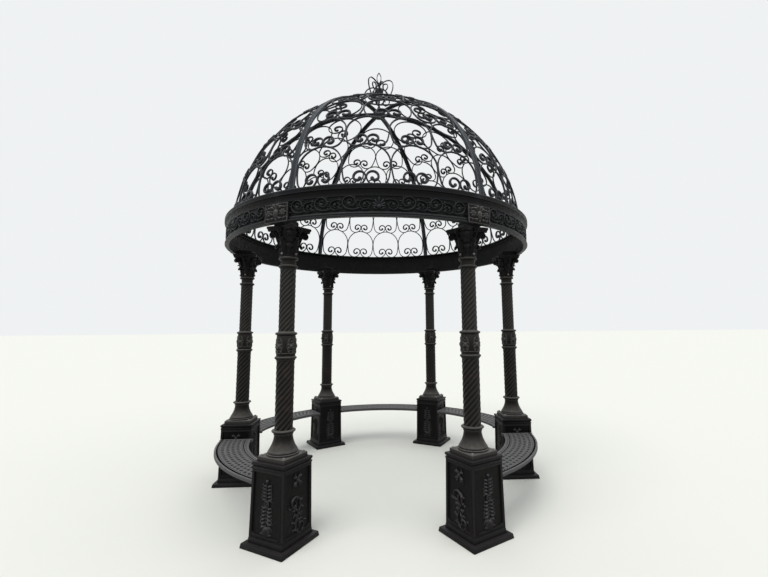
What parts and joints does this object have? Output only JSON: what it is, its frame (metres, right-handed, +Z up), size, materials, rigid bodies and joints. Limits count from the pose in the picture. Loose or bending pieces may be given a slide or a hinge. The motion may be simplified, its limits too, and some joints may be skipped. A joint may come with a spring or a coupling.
{
  "type": "gazebo",
  "caption": "Domed iron garden pavilion on columns with pedestals, curved seats between them and a scrollwork dome with finial",
  "frame": {"origin": "bottom centre of the ring of pedestals, on the ground", "axes": "+Z up along the dome's axis, -Y towards the open entrance bay, +X to the right seen from the entrance"},
  "size_m": [3.416, 3.3316, 4.75],
  "materials": {
    "dark_cast_iron": "satin charcoal paint over cast iron, dusty on upward faces, some rust tint",
    "dark_wrought_iron": "satin black paint on flat bar, slightly weathered",
    "dusty_cast_iron": "worn and dusty dark paint on the seat grilles"
  },
  "bodies": {
    "root": {"pedestal_right": "dark_cast_iron", "column_right": "dark_cast_iron", "capital_right": "dark_cast_iron", "dome_rib_right": "dark_wrought_iron", "pedestal_back_right": "dark_cast_iron", "column_back_right": "dark_cast_iron", "capital_back_right": "dark_cast_iron", "dome_rib_back_right": "dark_wrought_iron", "pedestal_back_left": "dark_cast_iron", "column_back_left": "dark_cast_iron", "capital_back_left": "dark_cast_iron", "dome_rib_back_left": "dark_wrought_iron", "pedestal_left": "dark_cast_iron", "column_left": "dark_cast_iron", "capital_left": "dark_cast_iron", "dome_rib_left": "dark_wrought_iron", "pedestal_front_left": "dark_cast_iron", "column_front_left": "dark_cast_iron", "capital_front_left": "dark_cast_iron", "dome_rib_front_left": "dark_wrought_iron", "pedestal_front_right": "dark_cast_iron", "column_front_right": "dark_cast_iron", "capital_front_right": "dark_cast_iron", "dome_rib_front_right": "dark_wrought_iron", "ring_beam_right_back": "dark_cast_iron", "dome_panel_right_back": "dark_wrought_iron", "ring_beam_back": "dark_cast_iron", "dome_panel_back": "dark_wrought_iron", "ring_beam_left_back": "dark_cast_iron", "dome_panel_left_back": "dark_wrought_iron", "ring_beam_left_front": "dark_cast_iron", "dome_panel_left_front": "dark_wrought_iron", "ring_beam_front": "dark_cast_iron", "dome_panel_front": "dark_wrought_iron", "ring_beam_right_front": "dark_cast_iron", "dome_panel_right_front": "dark_wrought_iron", "bench_seat_right_back": "dusty_cast_iron", "bench_seat_back": "dusty_cast_iron", "bench_seat_left_back": "dusty_cast_iron", "bench_seat_left_front": "dusty_cast_iron", "bench_seat_right_front": "dusty_cast_iron", "crown_hub": "dark_wrought_iron", "finial": "dark_wrought_iron"}
  },
  "joints": []
}
